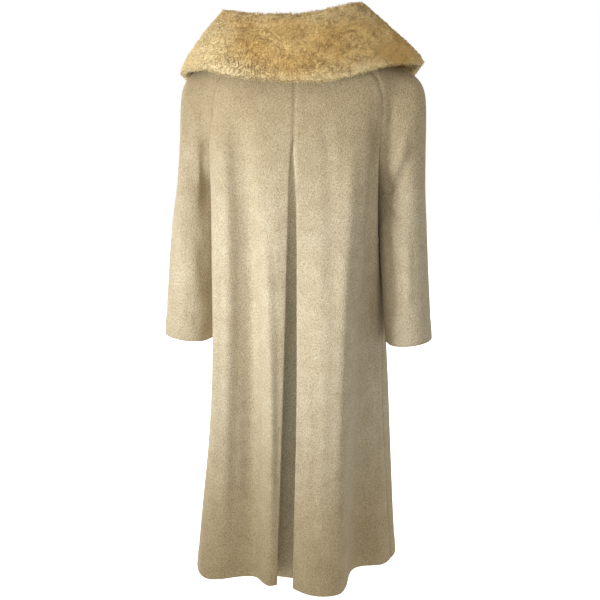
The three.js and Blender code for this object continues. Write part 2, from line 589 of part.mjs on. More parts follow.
// The fur collar. place runs along the neck seam from the centre back (0) to where the fronts
// meet (1). roll is the middle of the fur at the fold, and edge is its middle at the free edge.
// thick is the fur's depth, puff how far the fall swells out between roll and edge, and arch how
// far its underside stands up from the shoulder there.
const COLLAR = [
  { place: 0, rollX: 0, rollY: 87, rollZ: 67, edgeX: 0, edgeY: 126, edgeZ: -51, thick: 23, puff: 10, arch: 10 },
  { place: 0.08, rollX: 54, rollY: 84, rollZ: 66, edgeX: 72, edgeY: 121, edgeZ: -49, thick: 23, puff: 11, arch: 11 },
  { place: 0.15, rollX: 104, rollY: 68, rollZ: 70, edgeX: 138, edgeY: 104, edgeZ: -41, thick: 23, puff: 11, arch: 12 },
  { place: 0.22, rollX: 140, rollY: 38, rollZ: 75, edgeX: 198, edgeY: 72, edgeZ: -28, thick: 23, puff: 8, arch: 13 },
  { place: 0.29, rollX: 155, rollY: 2, rollZ: 75, edgeX: 250, edgeY: 8, edgeZ: -41, thick: 23, puff: 4, arch: 13 },
  { place: 0.37, rollX: 142, rollY: -42, rollZ: 52, edgeX: 245, edgeY: -46, edgeZ: -58, thick: 22, puff: 4, arch: 11 },
  { place: 0.45, rollX: 118, rollY: -80, rollZ: 8, edgeX: 220, edgeY: -82, edgeZ: -88, thick: 21, puff: 7, arch: 9 },
  { place: 0.56, rollX: 88, rollY: -104, rollZ: -38, edgeX: 194, edgeY: -93, edgeZ: -118, thick: 19, puff: 8, arch: 8 },
  { place: 0.69, rollX: 66, rollY: -123, rollZ: -98, edgeX: 166, edgeY: -98, edgeZ: -155, thick: 17, puff: 8, arch: 8 },
  { place: 0.82, rollX: 40, rollY: -136, rollZ: -153, edgeX: 124, edgeY: -122, edgeZ: -194, thick: 16, puff: 7, arch: 7 },
  { place: 0.93, rollX: 18, rollY: -142, rollZ: -197, edgeX: 72, edgeY: -135, edgeZ: -226, thick: 14, puff: 5, arch: 5 },
  { place: 1, rollX: 9, rollY: -142, rollZ: -226, edgeX: 31, edgeY: -140, edgeZ: -244, thick: 11, puff: 3, arch: 3 },
];
// The collar sits higher and closer to the neck on the wearer's right.
const COLLAR_TILT = [
  { place: 0, rollRise: 0, rollIn: 0, edgeRise: 0, edgeOut: 0 },
  { place: 0.08, rollRise: 8, rollIn: 0, edgeRise: 0, edgeOut: 0 },
  { place: 0.15, rollRise: 17, rollIn: 2, edgeRise: 8, edgeOut: 0 },
  { place: 0.24, rollRise: 14, rollIn: 21, edgeRise: 14, edgeOut: 0 },
  { place: 0.31, rollRise: 7, rollIn: 34, edgeRise: 27, edgeOut: 2 },
  { place: 0.38, rollRise: 6, rollIn: 20, edgeRise: 29, edgeOut: 0 },
  { place: 0.46, rollRise: 4, rollIn: 7, edgeRise: 20, edgeOut: 2 },
  { place: 0.64, rollRise: 0, rollIn: 0, edgeRise: 0, edgeOut: 0 },
];
const COLLAR_STATIONS = 24;
const COLLAR_SEAM = 1.6;
// The collar's two ends stop short of the point where the fronts meet, as a share of the neck seam.
const COLLAR_END = 0.95;

// The neck edge of one side of the coat, from the centre back forward, just off its right side
// (depth 0) or its wrong side (depth 1).
function neckEdge(name, depth) {
  const rim = (piece, i, j, nextI, nextJ) => {
    const { points, outward, thickness } = panels[piece];
    const away = points[i][j].clone().sub(points[nextI][nextJ]).normalize();
    const place = points[i][j].clone().addScaledVector(outward[i][j], -thickness[i][j] * depth);
    return place.addScaledVector(away, COLLAR_SEAM);
  };
  const frontEnd = panels[`front_${name}`].points[0].length - 1;
  const breakRow = FRONT_NECK_HEIGHTS.indexOf(BREAK_Z);
  const edge = [
    ...range(0, backEnd).map((j) => rim(`back_${name}`, 0, backEnd - j, 1, backEnd - j)),
    ...range(1, SLEEVE_STEPS).map((j) => rim(`sleeve_${name}_back`, 0, SLEEVE_STEPS - j, 1, SLEEVE_STEPS - j)),
    ...range(1, SLEEVE_STEPS).map((j) => rim(`sleeve_${name}_front`, 0, j, 1, j)),
    ...range(0, breakRow).map((i) => rim(`front_${name}`, i, frontEnd, i, frontEnd - 1)),
  ];
  return new THREE.CatmullRomCurve3(edge, false, "centripetal");
}

function collarSection(rightSide, wrongSide, roll, edge, thick, puff, arch) {
  const foot = rightSide.clone().lerp(wrongSide, 0.5);
  const up = roll.clone().sub(foot);
  const height = up.length();
  up.normalize();
  const out = edge.clone().sub(foot);
  out.addScaledVector(up, -out.dot(up)).normalize();
  const at = (o, u) => foot.clone().addScaledVector(out, o).addScaledVector(up, u);
  const down = edge.clone().sub(roll);
  const fall = down.length();
  down.normalize();
  const face = up.clone().addScaledVector(down, -up.dot(down)).normalize();
  const onFall = (part, lift) => roll.clone().addScaledVector(down, fall * part).addScaledVector(face, lift);
  const half = thick / 2;
  return [
    wrongSide,
    at(-0.3 * thick, 0.3 * height),
    at(-0.42 * thick, 0.66 * height),
    at(-0.4 * thick, height),
    at(-0.05 * thick, height + 0.42 * thick),
    roll.clone().addScaledVector(face, half).addScaledVector(down, -0.12 * thick),
    onFall(0.2, half + 0.75 * puff),
    onFall(0.45, half + puff),
    onFall(0.72, half + 0.8 * puff),
    onFall(0.93, half + 0.2 * puff),
    edge.clone().addScaledVector(face, 0.22 * thick).addScaledVector(down, 0.4 * thick),
    edge.clone().addScaledVector(face, -0.2 * thick).addScaledVector(down, 0.42 * thick),
    edge.clone().addScaledVector(face, -0.45 * thick).addScaledVector(down, 0.1 * thick),
    onFall(0.75, -half + 0.7 * arch),
    onFall(0.5, -half + arch),
    onFall(0.3, -half + 0.8 * arch),
    at(0.42 * thick, height - 0.85 * thick),
    at(0.3 * thick, 0.4 * height),
    rightSide,
  ];
}

function collarRows() {
  const column = (name, table = COLLAR) => through(table, "place", name);
  const roll = ["rollX", "rollY", "rollZ"].map((name) => column(name));
  const edge = ["edgeX", "edgeY", "edgeZ"].map((name) => column(name));
  const rollRise = column("rollRise", COLLAR_TILT);
  const rollIn = column("rollIn", COLLAR_TILT);
  const edgeRise = column("edgeRise", COLLAR_TILT);
  const edgeOut = column("edgeOut", COLLAR_TILT);
  const edges = Object.fromEntries(["left", "right"].map((name) => [name, [neckEdge(name, 0), neckEdge(name, 1)]]));
  const station = (name, place) => {
    const side = name === "left" ? 1 : -1;
    const tilt = name === "left" ? 0 : 1;
    const feet = edges[name].map((curve) => curve.getPointAt(place * COLLAR_END));
    const rollX = roll[0](place) - tilt * rollIn(place);
    const rollPoint = vec(side * rollX, roll[1](place), roll[2](place) + tilt * rollRise(place));
    const edgeX = edge[0](place) + tilt * edgeOut(place);
    const edgePoint = vec(side * edgeX, edge[1](place), edge[2](place) + tilt * edgeRise(place));
    if (place === 0) feet.forEach((foot) => foot.setX(0));
    const [thick, puff, arch] = ["thick", "puff", "arch"].map((name) => column(name)(place));
    return collarSection(...feet, rollPoint, edgePoint, thick, puff, arch);
  };
  const places = range(0, COLLAR_STATIONS - 1).map((i) => i / (COLLAR_STATIONS - 1));
  const right = places.slice(1).reverse().map((place) => station("right", place));
  const rows = [...right, ...places.map((place) => station("left", place))];
  const rounded = (row, next, shrink, advance) => {
    const centre = row.reduce((sum, p) => sum.add(p), vec(0, 0, 0)).divideScalar(row.length);
    const away = row.map((p, k) => p.clone().sub(next[k]));
    const step = away.reduce((sum, p) => sum.add(p), vec(0, 0, 0)).normalize().multiplyScalar(advance);
    step.y -= 5;
    return row.map((p) => p.clone().lerp(centre, shrink).add(step));
  };
  const last = rows.length - 1;
  const ends = [[rows[0], rows[1]], [rows[last], rows[last - 1]]].map(([row, next]) => [
    rounded(row, next, 0.16, 4),
    rounded(row, next, 0.5, 6.5),
  ]);
  return [ends[0][1], ends[0][0], ...rows, ends[1][0], ends[1][1]];
}

// A closed body through rows of points that each run once round it.
function loft(rows) {
  const around = rows[0].length;
  const position = rows.flatMap((row) => row.flatMap((p) => [p.x, p.y, p.z]));
  const index = [];
  for (let i = 0; i < rows.length - 1; i++) {
    for (let k = 0; k < around; k++) {
      const next = (k + 1) % around;
      const a = i * around + k;
      const b = i * around + next;
      const c = (i + 1) * around + next;
      const d = (i + 1) * around + k;
      index.push(a, c, b, a, d, c);
    }
  }
  for (const [i, turned] of [[0, true], [rows.length - 1, false]]) {
    const centre = rows[i].reduce((sum, p) => sum.add(p), vec(0, 0, 0)).divideScalar(around);
    const hub = position.length / 3;
    position.push(centre.x, centre.y, centre.z);
    for (let k = 0; k < around; k++) {
      const a = i * around + k;
      const b = i * around + ((k + 1) % around);
      if (turned) index.push(hub, a, b);
      else index.push(hub, b, a);
    }
  }
  const geometry = new THREE.BufferGeometry();
  geometry.setAttribute("position", new THREE.Float32BufferAttribute(position, 3));
  geometry.setIndex(index);
  geometry.computeVertexNormals();
  return geometry;
}

const coat = new THREE.Group();
for (const [name, panel] of Object.entries(panels)) {
  const mesh = new THREE.Mesh(wall(panel), CLOTH);
  mesh.name = name;
  coat.add(mesh);
}

const collar = new THREE.Mesh(loft(collarRows()), FUR);
collar.name = "collar_fur";
coat.add(collar);

export default coat;
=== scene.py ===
import math

import bmesh
import bpy
import numpy as np
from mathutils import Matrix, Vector, kdtree, noise
from mathutils.bvhtree import BVHTree


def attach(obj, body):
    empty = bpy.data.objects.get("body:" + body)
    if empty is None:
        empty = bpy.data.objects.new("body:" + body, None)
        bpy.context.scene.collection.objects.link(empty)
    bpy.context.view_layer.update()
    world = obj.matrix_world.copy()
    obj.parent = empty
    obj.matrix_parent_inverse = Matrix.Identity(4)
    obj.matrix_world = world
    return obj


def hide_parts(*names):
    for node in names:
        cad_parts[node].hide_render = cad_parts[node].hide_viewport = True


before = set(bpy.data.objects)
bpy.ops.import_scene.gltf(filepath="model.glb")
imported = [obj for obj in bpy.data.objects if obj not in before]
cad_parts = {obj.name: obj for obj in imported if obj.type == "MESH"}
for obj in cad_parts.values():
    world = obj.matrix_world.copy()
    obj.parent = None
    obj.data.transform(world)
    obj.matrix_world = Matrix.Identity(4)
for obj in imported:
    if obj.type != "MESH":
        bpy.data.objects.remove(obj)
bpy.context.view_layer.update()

# The camera stands behind the coat, level with its shoulders and a little to its right, and looks down
# on it as the photograph does. The lens and the distance give the coat its height in the picture.
camera = bpy.data.objects.new("camera", bpy.data.cameras.new("camera"))
bpy.context.scene.collection.objects.link(camera)
bpy.context.scene.camera = camera
camera.data.sensor_width = 36.0
camera.data.lens = 64.14
camera.location = (-0.2204, 2.2894, 0.030)
camera.rotation_euler = Vector((0.0930, -0.9664, -0.2397)).to_track_quat("-Z", "Y").to_euler()

# Plain studio light: a soft white spotlight well to the left of the camera, aimed at the middle of the
# coat, so that its shoulders, hem and right side are in soft shade, a faint warm lamp overhead, one in
# front for the hidden side, and a pale room that the camera sees as plain white.
SPOT_CONE = math.radians(40.0)
LAMPS = [
    # name, kind, place, aim, size across, watts, colour
    ("lamp_near", "SPOT", (1.48, 1.52, -0.42), (0.02, 0.10, -0.44), 0.80, 176.0, (1.0, 0.995, 0.985)),
    ("lamp_above", "AREA", (0.6, 1.5, 1.7), (0.0, 0.0, -0.3), 0.9, 5.0, (1.0, 0.76, 0.50)),
    ("lamp_front", "AREA", (1.6, -2.6, 1.0), (0.0, 0.0, -0.5), 1.6, 80.0, (1.0, 0.985, 0.955)),
]
for name, kind, place, aim, size, watts, colour in LAMPS:
    lamp = bpy.data.objects.new(name, bpy.data.lights.new(name, kind))
    bpy.context.scene.collection.objects.link(lamp)
    if kind == "SPOT":
        lamp.data.shadow_soft_size = size / 2.0
        lamp.data.spot_size = SPOT_CONE
        lamp.data.spot_blend = 1.0
    else:
        lamp.data.size = size
    lamp.data.energy = watts
    lamp.data.color = colour
    lamp.location = place
    lamp.rotation_euler = (Vector(aim) - Vector(place)).to_track_quat("-Z", "Y").to_euler()

room = bpy.data.worlds.new("room")
bpy.context.scene.world = room
room.use_nodes = True
air = room.node_tree.nodes
room_light = air["Background"]
room_light.inputs["Color"].default_value = (1.0, 0.97, 0.90, 1.0)
room_light.inputs["Strength"].default_value = 0.50
backdrop = air.new("ShaderNodeBackground")
backdrop.inputs["Color"].default_value = (1.0, 1.0, 1.0, 1.0)
ray = air.new("ShaderNodeLightPath")
either = air.new("ShaderNodeMixShader")
room.node_tree.links.new(ray.outputs["Is Camera Ray"], either.inputs["Fac"])
room.node_tree.links.new(room_light.outputs["Background"], either.inputs[1])
room.node_tree.links.new(backdrop.outputs["Background"], either.inputs[2])
room.node_tree.links.new(either.outputs["Shader"], air["World Output"].inputs["Surface"])
bpy.context.scene.view_settings.view_transform = "Standard"

# The floor is plain and pale, as far below the shoulders as a standing wearer's feet are, and the coat
# hangs clear of it. A glow that only the camera sees makes it as white as the backdrop.
FLOOR_Z = -1.43
FLOOR_HALF = 6.0
FLOOR_GLOW = 0.9
floor_mesh = bpy.data.meshes.new("floor")
floor_corners = [(x * FLOOR_HALF, y * FLOOR_HALF, FLOOR_Z) for x, y in ((-1, -1), (1, -1), (1, 1), (-1, 1))]
floor_mesh.from_pydata(floor_corners, [], [(0, 1, 2, 3)])
floor = bpy.data.objects.new("floor", floor_mesh)
bpy.context.scene.collection.objects.link(floor)
floor_paint = bpy.data.materials.new("floor_paint")
floor_paint.use_nodes = True
floor_shader = floor_paint.node_tree.nodes["Principled BSDF"]
floor_shader.inputs["Base Color"].default_value = (0.95, 0.95, 0.95, 1.0)
floor_shader.inputs["Roughness"].default_value = 0.8
floor_shader.inputs["Emission Color"].default_value = (1.0, 1.0, 1.0, 1.0)
floor_ray = floor_paint.node_tree.nodes.new("ShaderNodeLightPath")
floor_glow = floor_paint.node_tree.nodes.new("ShaderNodeMath")
floor_glow.operation = "MULTIPLY"
floor_glow.inputs[1].default_value = FLOOR_GLOW
floor_paint.node_tree.links.new(floor_ray.outputs["Is Camera Ray"], floor_glow.inputs[0])
floor_paint.node_tree.links.new(floor_glow.outputs["Value"], floor_shader.inputs["Emission Strength"])
floor_mesh.materials.append(floor_paint)

# The back panels, left and right, are cut from heavy cream wool with a looped, nubbed face. They are
# sewn together down the centre back as far as the pleat, where each turns in to a deep pressed fold.
CLOTH_PIECES = [
    "back_left", "back_right", "front_left", "front_right", "pleat_underlay",
    "sleeve_left_back", "sleeve_left_front", "sleeve_right_back", "sleeve_right_front",
]


def looped_wool(name, thin, thick):
    """The coat's one cloth: cream wool whose face is a mass of small loops, painted paler on their crowns and
    darker in the hollows between them, the wool's own mottling with painted highlight and painted shade. Its
    colour drifts in patches between two tints, thin where the cloth is worn and thick elsewhere; tints well
    above one paint light over the whole cloth."""
    wool = bpy.data.materials.new(name)
    wool.use_nodes = True
    nodes, links = wool.node_tree.nodes, wool.node_tree.links
    place = nodes.new("ShaderNodeTexCoord").outputs["Object"]

    def speckle(scale, detail, roughness):
        grain = nodes.new("ShaderNodeTexNoise")
        grain.inputs["Scale"].default_value = scale
        grain.inputs["Detail"].default_value = detail
        grain.inputs["Roughness"].default_value = roughness
        links.new(place, grain.inputs["Vector"])
        return grain.outputs["Fac"]

    def join(kind, first, second):
        step = nodes.new("ShaderNodeMath")
        step.operation = kind
        for socket, value in zip(step.inputs, (first, second)):
            if isinstance(value, float):
                socket.default_value = value
            else:
                links.new(value, socket)
        return step.outputs["Value"]

    def ramp(value, stops):
        band = nodes.new("ShaderNodeValToRGB")
        for index, (at, colour) in enumerate(stops):
            stop = band.color_ramp.elements[index] if index < 2 else band.color_ramp.elements.new(at)
            stop.position = at
            stop.color = (*colour, 1.0)
        links.new(value, band.inputs["Fac"])
        return band.outputs["Color"]

    # Each loop is a rounded crown, bent off its place so that no rows show, with finer fuzz over it.
    loops = nodes.new("ShaderNodeTexVoronoi")
    loops.feature = "SMOOTH_F1"
    loops.inputs["Scale"].default_value = 390.0
    loops.inputs["Smoothness"].default_value = 0.6
    loops.inputs["Randomness"].default_value = 1.0
    warp = nodes.new("ShaderNodeVectorMath")
    warp.operation = "MULTIPLY_ADD"
    bend = nodes.new("ShaderNodeTexNoise")
    bend.inputs["Scale"].default_value = 170.0
    bend.inputs["Detail"].default_value = 2.0
    links.new(place, bend.inputs["Vector"])
    links.new(bend.outputs["Color"], warp.inputs[0])
    warp.inputs[1].default_value = (0.0024, 0.0024, 0.0024)
    links.new(place, warp.inputs[2])
    links.new(warp.outputs["Vector"], loops.inputs["Vector"])
    crown = join("SUBTRACT", 1.0, loops.outputs["Distance"])
    fuzz_share = 0.55
    height = join("ADD", crown, join("MULTIPLY", speckle(620.0, 4.0, 0.65), fuzz_share))

    # Painted highlight and painted shade: the colour follows the height of the loops, paler on the crowns and
    # darker in the hollows, over the wool's own mottling.
    height_to_ramp = 0.68
    face = ramp(join("MULTIPLY", height, height_to_ramp), [
        (0.36, (0.462, 0.396, 0.284)),
        (0.55, (0.574, 0.505, 0.369)),
        (0.70, (0.665, 0.600, 0.452)),
        (0.84, (0.860, 0.810, 0.662)),
    ])
    patches = ramp(speckle(26.0, 3.0, 0.55), [(0.32, thin), (0.68, thick)])
    mottled = nodes.new("ShaderNodeMix")
    mottled.data_type = "RGBA"
    mottled.blend_type = "MULTIPLY"
    mottled.inputs["Factor"].default_value = 1.0
    links.new(face, mottled.inputs[6])
    links.new(patches, mottled.inputs[7])
    # Painted shade: the cloth is made darker and warmer towards the hem and over the shoulders, where the
    # lamp's light falls off.
    height_above = nodes.new("ShaderNodeSeparateXYZ")
    links.new(place, height_above.inputs["Vector"])

    def shade_falloff_between(start, end, most):
        falloff = nodes.new("ShaderNodeMapRange")
        falloff.interpolation_type = "SMOOTHSTEP"
        falloff.inputs["From Min"].default_value = start
        falloff.inputs["From Max"].default_value = end
        falloff.inputs["To Max"].default_value = most
        links.new(height_above.outputs["Z"], falloff.inputs["Value"])
        return falloff.outputs["Result"]

    hem_falloff = shade_falloff_between(-0.72, -1.14, 0.70)
    shoulder_falloff = shade_falloff_between(-0.38, -0.06, 0.62)
    # Painted shade: the darker, warmer tint is multiplied in towards the hem and the shoulders.
    painted_falloff = nodes.new("ShaderNodeMix")
    painted_falloff.data_type = "RGBA"
    painted_falloff.blend_type = "MULTIPLY"
    painted_falloff.inputs[7].default_value = (0.84, 0.75, 0.59, 1.0)
    links.new(join("MAXIMUM", hem_falloff, shoulder_falloff), painted_falloff.inputs["Factor"])
    links.new(mottled.outputs[2], painted_falloff.inputs[6])

    relief = nodes.new("ShaderNodeBump")
    relief.inputs["Strength"].default_value = 0.85
    relief.inputs["Distance"].default_value = 0.0012
    links.new(height, relief.inputs["Height"])
    shader = nodes["Principled BSDF"]
    links.new(painted_falloff.outputs[2], shader.inputs["Base Color"])
    links.new(relief.outputs["Normal"], shader.inputs["Normal"])
    shader.inputs["Roughness"].default_value = 0.94
    shader.inputs["Specular IOR Level"].default_value = 0.15
    shader.inputs["Sheen Weight"].default_value = 0.22
    shader.inputs["Sheen Roughness"].default_value = 0.45
    shader.inputs["Sheen Tint"].default_value = (1.0, 0.95, 0.84, 1.0)
    return wool


wool = looped_wool("looped_wool", (0.93, 0.90, 0.86), (1.05, 1.05, 1.04))
# Two triangles that turn and skew less than this from one square are joined back to it. An edge that
# turns more than the last is a cut edge, and stays sharp.
SQUARE_TURN = math.radians(60)
SQUARE_SHAPE = math.radians(120)
CUT_EDGE_TURN = math.radians(50)


def smooth_wall(node, levels):
    """A finer copy of a cut piece's wall: its faces joined back to squares, its cut edges kept, and all
    the rest rounded."""
    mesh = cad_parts[node].data.copy()
    mesh.materials.clear()
    work = bmesh.new()
    work.from_mesh(mesh)
    bmesh.ops.remove_doubles(work, verts=work.verts, dist=1e-5)
    bmesh.ops.join_triangles(
        work, faces=work.faces, angle_face_threshold=SQUARE_TURN, angle_shape_threshold=SQUARE_SHAPE
    )
    crease = work.edges.layers.float.new("crease_edge")
    for edge in work.edges:
        if len(edge.link_faces) == 2 and edge.calc_face_angle() > CUT_EDGE_TURN:
            edge[crease] = 1.0
    work.to_mesh(mesh)
    work.free()
    rough = bpy.data.objects.new(node + "_rough", mesh)
    bpy.context.scene.collection.objects.link(rough)
    rounding = rough.modifiers.new("rounding", "SUBSURF")
    rounding.levels = levels
    rounding.render_levels = levels
    ready = rough.evaluated_get(bpy.context.evaluated_depsgraph_get())
    fine = bpy.data.meshes.new_from_object(ready)
    bpy.data.objects.remove(rough)
    fine.name = node
    fine.shade_smooth()
    return fine


def points_of(mesh):
    points = np.empty(len(mesh.vertices) * 3)
    mesh.vertices.foreach_get("co", points)
    return points.reshape(-1, 3)


CORE_HALF_WIDTH = 0.12
CORE_Y = 0.01
CORE_FLATNESS = 1.3


def outward(points):
    """Away from the coat's flat core, level with the floor: the way that seams dip and hems stand off."""
    away = points.copy()
    away[:, 0] -= np.clip(points[:, 0], -CORE_HALF_WIDTH, CORE_HALF_WIDTH)
    away[:, 1] = (away[:, 1] - CORE_Y) * CORE_FLATNESS
    away[:, 2] = 0.0
    return away / np.maximum(np.linalg.norm(away, axis=1, keepdims=True), 1e-6)


def step(value, start, end):
    """0 before start and 1 past end, smooth between them."""
    t = np.clip((value - start) / (end - start), 0.0, 1.0)
    return t * t * (3.0 - 2.0 * t)


cloth = {node: smooth_wall(node, 2) for node in CLOTH_PIECES}
cut_trees = {
    node: BVHTree.FromPolygons(
        [vertex.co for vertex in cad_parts[node].data.vertices],
        [face.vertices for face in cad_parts[node].data.polygons],
    )
    for node in CLOTH_PIECES
}
SEAM_REACH = 0.02
SEAM_DIP = 0.0022
SEAM_SPREAD = 0.0050
# Each side goes a little more than halfway across the gap that the cut pieces leave.
SEAM_CROSSING = 0.62
SEAM_GAP = 0.0008


def sew(node, neighbours):
    """Draws the cloth in along the seams that join a piece to its neighbours, as stitches under a thick
    cloth do, and closes the seam."""
    points = points_of(cloth[node])
    near = np.full(len(points), 1.0)
    across = np.zeros((len(points), 3))
    for other in neighbours:
        for index, point in enumerate(points):
            hit = cut_trees[other].find_nearest(Vector(point), SEAM_REACH)
            if hit[0] is not None and hit[3] < near[index]:
                near[index] = hit[3]
                across[index] = hit[0] - Vector(point)
    dip = SEAM_DIP * np.exp(-((near / SEAM_SPREAD) ** 2))
    meets = SEAM_CROSSING * (1.0 - step(near, SEAM_GAP, 2.0 * SEAM_GAP))
    return points + across * meets[:, None] - outward(points) * dip[:, None]


HANG_DEPTH = 0.0026


def hang(points):
    """The slight unevenness of a hanging cloth: broad, shallow and longer than it is wide."""
    lift = np.array([
        noise.noise(Vector((x * 9.0 + 3.1, y * 9.0, z * 3.2)))
        + 0.5 * noise.noise(Vector((x * 21.0, y * 21.0 + 7.7, z * 6.0)))
        for x, y, z in points
    ])
    return points + outward(points) * (HANG_DEPTH * lift * step(-points[:, 2], 0.03, 0.16))[:, None]


HEM_TURN = 0.045
HEM_RISE = 0.0007
HEM_STITCH_DIP = 0.0010
HEM_STITCH_SPREAD = 0.006


def turn_up(points, edge_of):
    """The turned edge of a hem or cuff: it stands off a little, because the cloth is double there, and ends
    in a faint line of blind stitches."""
    edge = kdtree.KDTree(len(edge_of))
    for index, point in enumerate(edge_of):
        edge.insert(Vector(point), index)
    edge.balance()
    far = np.array([edge.find(Vector(point))[2] for point in points])
    raise_by = HEM_RISE * (1.0 - step(far, HEM_TURN - 0.004, HEM_TURN + 0.004))
    stitch = -HEM_STITCH_DIP * np.exp(-(((far - HEM_TURN) / HEM_STITCH_SPREAD) ** 2))
    return points + outward(points) * (raise_by + stitch)[:, None]


def low_edge(node, below):
    """Where a piece ends at its hem or cuff: the points of the faces below a height that look down."""
    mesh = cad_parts[node].data
    found = {}
    for face in mesh.polygons:
        if face.normal.z < -0.75 and face.center.z < below:
            for index in face.vertices:
                found[index] = mesh.vertices[index].co[:]
    return list(found.values())


def crease(points, rows, trees):
    """Presses soft troughs (depth below 0) and ridges (above 0) into the cloth along lines drawn on it. A
    line is drawn as it is seen from the back or the front, and dies away towards its ends."""
    moved = points.copy()
    for seen, width, depth, line in rows:
        look = Vector((0.0, -1.0, 0.0)) if seen == "back" else Vector((0.0, 1.0, 0.0))
        ends = []
        for x, z in line:
            hits = [tree.ray_cast(Vector((x, 0.0, z)) - look * 0.5, look) for tree in trees]
            hits = [hit for hit in hits if hit[0] is not None]
            if hits:
                best = min(hits, key=lambda hit: hit[3])
                ends.append((np.array(best[0]), np.array(best[1])))
        lengths = [np.linalg.norm(b[0] - a[0]) for a, b in zip(ends, ends[1:])]
        whole = sum(lengths)
        best_far = np.full(len(points), 1.0)
        best_way = np.zeros((len(points), 3))
        best_along = np.zeros(len(points))
        done = 0.0
        for (a, way_a), (b, way_b), length in zip(ends, ends[1:], lengths):
            t = np.clip(((points - a) @ (b - a)) / (length * length), 0.0, 1.0)
            far = np.linalg.norm(points - (a + t[:, None] * (b - a)), axis=1)
            nearer = far < best_far
            best_far[nearer] = far[nearer]
            best_way[nearer] = (way_a + t[:, None] * (way_b - way_a))[nearer]
            best_along[nearer] = (done + t * length)[nearer] / whole
            done += length
        # A trough has a low rise on each side of it, and a ridge a shallow dip.
        t = np.clip(best_far / width, 0.0, 1.0)
        fall = (1.0 - t * t) ** 2 * (1.0 - 2.2 * t * t)
        fade = step(best_along, 0.0, 0.22) * (1.0 - step(best_along, 0.72, 1.0))
        best_way /= np.maximum(np.linalg.norm(best_way, axis=1, keepdims=True), 1e-6)
        moved += best_way * (depth * fall * fade)[:, None]
    return moved


# Folds of the body as the photograph shows them behind, in metres across and up: the trough and the
# ridges of the left panel, the soft folds of the right one, and the drag lines below its armhole. The
# front, which the photograph hides, has similar ones.
BODY_FOLDS = [
    # seen from, width, depth, line of (across, up)
    ("back", 0.050, -0.0105, [
        (0.118, -0.09), (0.108, -0.24), (0.098, -0.38), (0.093, -0.56),
        (0.093, -0.74), (0.097, -0.92), (0.103, -1.16),
    ]),
    ("back", 0.030, 0.0065, [
        (0.147, -0.09), (0.144, -0.24), (0.142, -0.38), (0.142, -0.56),
        (0.147, -0.74), (0.153, -0.92), (0.162, -1.14),
    ]),
    ("back", 0.024, 0.0030, [(0.166, -0.30), (0.170, -0.46), (0.174, -0.66), (0.186, -0.90)]),
    ("back", 0.022, 0.0055, [
        (0.064, -0.32), (0.054, -0.45), (0.050, -0.58),
        (0.049, -0.73), (0.050, -0.89), (0.053, -1.10),
    ]),
    ("back", 0.028, -0.0026, [(-0.060, -0.09), (-0.072, -0.22), (-0.078, -0.38), (-0.074, -0.55)]),
    ("back", 0.030, 0.0036, [
        (-0.120, -0.10), (-0.115, -0.29), (-0.108, -0.46),
        (-0.104, -0.63), (-0.098, -0.85), (-0.096, -1.05),
    ]),
    ("back", 0.024, -0.0026, [(-0.046, -0.62), (-0.050, -0.78), (-0.044, -0.96), (-0.048, -1.08)]),
    ("back", 0.020, -0.0085, [
        (-0.172, -0.05), (-0.167, -0.12), (-0.160, -0.20),
        (-0.153, -0.28), (-0.147, -0.36), (-0.144, -0.48),
    ]),
    ("back", 0.014, -0.0050, [(-0.174, -0.12), (-0.167, -0.18), (-0.163, -0.25), (-0.158, -0.32)]),
    ("back", 0.016, -0.0030, [(-0.162, -0.46), (-0.168, -0.60), (-0.176, -0.78), (-0.184, -1.00)]),
    ("front", 0.030, -0.0040, [(0.092, -0.16), (0.100, -0.34), (0.104, -0.52), (0.108, -0.72)]),
    ("front", 0.026, 0.0030, [(0.058, -0.34), (0.066, -0.56), (0.070, -0.80), (0.074, -1.02)]),
    ("front", 0.024, -0.0030, [(0.136, -0.60), (0.142, -0.80), (0.146, -1.00)]),
    ("front", 0.028, -0.0036, [(-0.086, -0.18), (-0.096, -0.38), (-0.094, -0.60), (-0.100, -0.78)]),
    ("front", 0.024, 0.0030, [(-0.050, -0.42), (-0.054, -0.64), (-0.062, -0.92)]),
    ("front", 0.026, -0.0030, [(-0.128, -0.66), (-0.134, -0.86), (-0.140, -1.04)]),
]
BODY = ["back_left", "back_right", "front_left", "front_right"]
body_trees = [cut_trees[node] for node in BODY]
hem_edge = [point for node in BODY for point in low_edge(node, -1.0)]
# Where each piece is sewn: its neighbours along its seams.
SEWN_TO = {
    "back_left": ["back_right", "front_left", "sleeve_left_back"],
    "back_right": ["back_left", "front_right", "sleeve_right_back"],
    "front_left": ["back_left", "sleeve_left_front"],
    "front_right": ["back_right", "sleeve_right_front"],
    "sleeve_left_back": ["back_left", "sleeve_left_front"],
    "sleeve_left_front": ["front_left", "sleeve_left_back"],
    "sleeve_right_back": ["back_right", "sleeve_right_front"],
    "sleeve_right_front": ["front_right", "sleeve_right_back"],
}


def finish_cloth(node, points, face=wool):
    mesh = cloth[node]
    mesh.vertices.foreach_set("co", points.ravel())
    mesh.materials.append(face)
    mesh.update()
    piece = bpy.data.objects.new("wool_" + node, mesh)
    bpy.context.scene.collection.objects.link(piece)
    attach(piece, "root")
    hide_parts(node)
    return piece


for node, flat, area in [
    ("back_left", (0.42, 1.16), 0.345),
    ("back_right", (0.44, 1.16), 0.360),
]:
    points = sew(node, SEWN_TO[node])
    points = crease(points, BODY_FOLDS, body_trees)
    points = turn_up(points, hem_edge)
    finish_cloth(node, hang(points))

# The front panels are cut from the same wool, with turned front edges that meet without buttons. The
# photograph hides them, so they hang plain, in two or three long soft folds each.
for node, flat, area in [
    ("front_left", (0.36, 1.13), 0.293),
    ("front_right", (0.36, 1.13), 0.297),
]:
    points = sew(node, SEWN_TO[node])
    points = crease(points, BODY_FOLDS, body_trees)
    points = turn_up(points, hem_edge)
    finish_cloth(node, hang(points))

